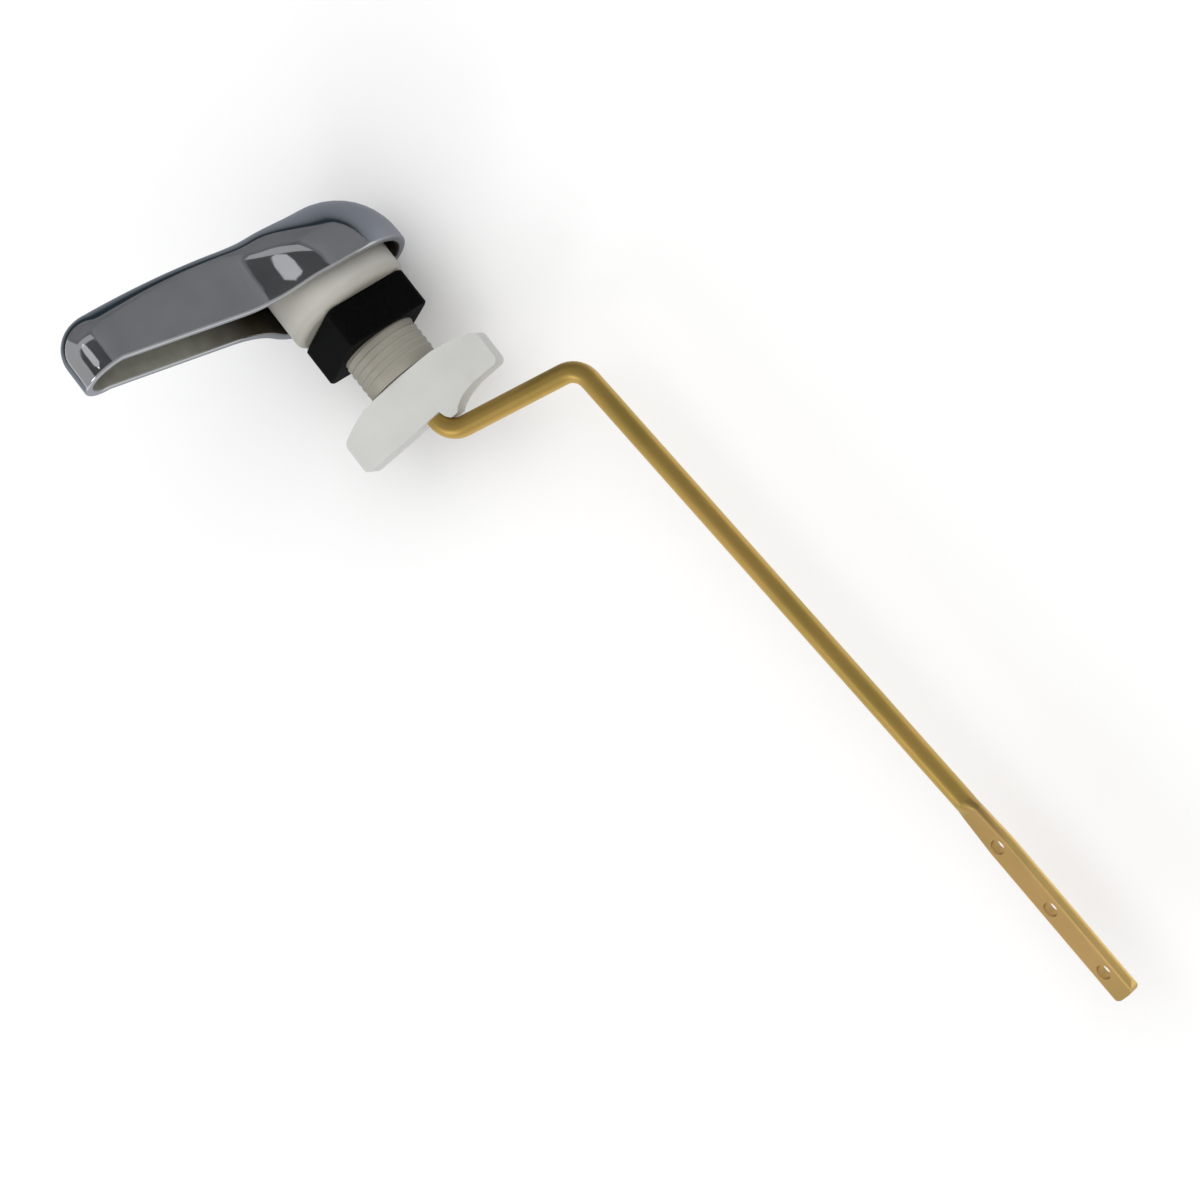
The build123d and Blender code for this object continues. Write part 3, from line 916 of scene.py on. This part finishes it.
def card(name, centre, facing, width, height, colour, fade=None):
    """Plain board on the stage; a fade of (x, grey) stops along X takes the place of its colour."""
    bm = bmesh.new()
    bmesh.ops.create_grid(bm, x_segments=1, y_segments=1, size=0.5)
    bmesh.ops.scale(bm, vec=(width, height, 1), verts=bm.verts)
    turn = Vector(facing).to_track_quat("Z", "Y").to_matrix()
    bmesh.ops.rotate(bm, verts=bm.verts, cent=(0, 0, 0), matrix=turn)
    bmesh.ops.translate(bm, vec=centre, verts=bm.verts)
    mesh = bpy.data.meshes.new(name)
    bm.to_mesh(mesh)
    bm.free()
    material, links, nodes, shader, coords = new_finish(name)
    shader.inputs["Base Color"].default_value = (*colour, 1)
    shader.inputs["Roughness"].default_value = 1
    shader.inputs["Specular IOR Level"].default_value = 0
    if fade:
        start, end = fade[0][0], fade[-1][0]
        stops = [((x - start) / (end - start), grey) for x, grey in fade]
        place = along_x(nodes, links, coords, start, end)
        links.new(ramp(nodes, links, place, *stops), shader.inputs["Base Color"])
    mesh.materials.append(material)
    board = bpy.data.objects.new(name, mesh)
    bpy.context.scene.collection.objects.link(board)
    return board


def reflecting_card(*measures):
    """Card that is seen in reflections alone."""
    board = card(*measures)
    board.visible_camera = False
    board.visible_shadow = False
    board.visible_diffuse = False


def softbox(name, place, target, size, power, mirrored=True):
    """Square lamp that faces the target; one that isn't mirrored stays out of the reflections."""
    light = bpy.data.lights.new(name, "AREA")
    light.shape = "SQUARE"
    light.size = size
    light.energy = power
    lamp = bpy.data.objects.new(name, light)
    lamp.location = place
    lamp.rotation_euler = (Vector(target) - Vector(place)).to_track_quat("-Z", "Y").to_euler()
    lamp.visible_glossy = mirrored
    bpy.context.scene.collection.objects.link(lamp)


def set_world(scene):
    """Even grey light from all round."""
    world = bpy.data.worlds.new("studio")
    world.use_nodes = True
    background = world.node_tree.nodes["Background"]
    background.inputs["Color"].default_value = (*WORLD_GREY, 1)
    background.inputs["Strength"].default_value = WORLD_STRENGTH
    scene.world = world


def set_camera(scene):
    """Camera at the photograph's viewing angle."""
    view = bpy.data.cameras.new("camera")
    view.sensor_width = CAMERA_SENSOR
    view.lens = CAMERA_LENS
    view.clip_end = CAMERA_FAR
    camera = bpy.data.objects.new("camera", view)
    turn = Matrix((CAMERA_RIGHT, CAMERA_UP, CAMERA_BACK)).transposed().to_4x4()
    camera.matrix_world = Matrix.Translation(CAMERA_PLACE) @ turn
    scene.collection.objects.link(camera)
    scene.camera = camera


class CISTERN_OT_stage(bpy.types.Operator):
    """Set the floor, the lamps, the reflecting cards, the world and the camera"""

    bl_idname = "cistern.stage"
    bl_label = "Stage"

    def execute(self, context):
        scene = context.scene
        scene.view_settings.view_transform = "Standard"
        card("floor", (0.08, 0, FLOOR_LEVEL), (0, 0, 1), FLOOR_SIZE, FLOOR_SIZE, finishes().floor)
        front_level = FLOOR_LEVEL + CARD_LIFT
        for measures in (
            ("side_card", (-0.295, 0.55, 0.42), (0.1, -1, -0.1), 0.91, 1.1, SIDE_FADE[0][1], SIDE_FADE),
            ("left_card", (-0.75, 0.1, 0.48), (1, 0, 0), 1.3, 1.0, LEFT_GREY),
            ("front_card", (-0.36, 0.05, front_level), (0, 0, 1), 0.78, 1.0, FRONT_FADE[0][1], FRONT_FADE),
            ("ceiling_card", (-0.3, 0.0, 1.5), (0, 0, -1), 0.6, 2.6, CEILING_GREY),
        ):
            reflecting_card(*measures)
        softbox("key_softbox", (-0.35, 0.25, 0.9), AXIS_TARGET, size=1.3, power=5.4, mirrored=False)
        softbox("fill_softbox", (0.6, -0.5, 0.8), AXIS_TARGET, size=1.4, power=4.0, mirrored=False)
        softbox("window_softbox", (-0.27, -0.22, 0.88), SEAT_TARGET, size=0.24, power=0.12)
        softbox("spark_softbox", (-0.13, -0.25, 0.90), SEAT_TARGET, size=0.05, power=0.016)
        softbox("rod_softbox", (0.40, -0.85, 0.60), AXIS_TARGET, size=0.35, power=1.3)
        set_world(scene)
        set_camera(scene)
        return {"FINISHED"}


class CISTERN_PT_panel(bpy.types.Panel):
    """The cistern lever's pieces, sizes and finishes"""

    bl_idname = "CISTERN_PT_panel"
    bl_label = "Cistern lever"
    bl_space_type = "VIEW_3D"
    bl_region_type = "UI"
    bl_category = "Cistern lever"

    def draw(self, context):
        layout = self.layout
        for group in (context.scene.cistern_lever_sizes, context.scene.cistern_lever_finishes):
            column = layout.column(align=True)
            for key in group.__annotations__:
                column.prop(group, key)
        for operator in OPERATORS:
            layout.operator(operator.bl_idname)


OPERATORS = (
    CISTERN_OT_stage,
    CISTERN_OT_handle,
    CISTERN_OT_bushing,
    CISTERN_OT_nut,
    CISTERN_OT_spindle,
    CISTERN_OT_rod,
    CISTERN_OT_screw,
)
CLASSES = (CisternLeverSizes, CisternLeverFinishes, *OPERATORS, CISTERN_PT_panel)


def register():
    for cls in CLASSES:
        bpy.utils.register_class(cls)
    bpy.types.Scene.cistern_lever_sizes = bpy.props.PointerProperty(type=CisternLeverSizes)
    bpy.types.Scene.cistern_lever_finishes = bpy.props.PointerProperty(type=CisternLeverFinishes)


def unregister():
    del bpy.types.Scene.cistern_lever_finishes
    del bpy.types.Scene.cistern_lever_sizes
    for cls in reversed(CLASSES):
        bpy.utils.unregister_class(cls)


def main():
    register()
    bpy.ops.cistern.stage()
    bpy.ops.cistern.handle()
    bpy.ops.cistern.bushing()
    bpy.ops.cistern.nut()
    bpy.ops.cistern.spindle()
    bpy.ops.cistern.rod()
    bpy.ops.cistern.screw()


if __name__ == "__main__":
    main()
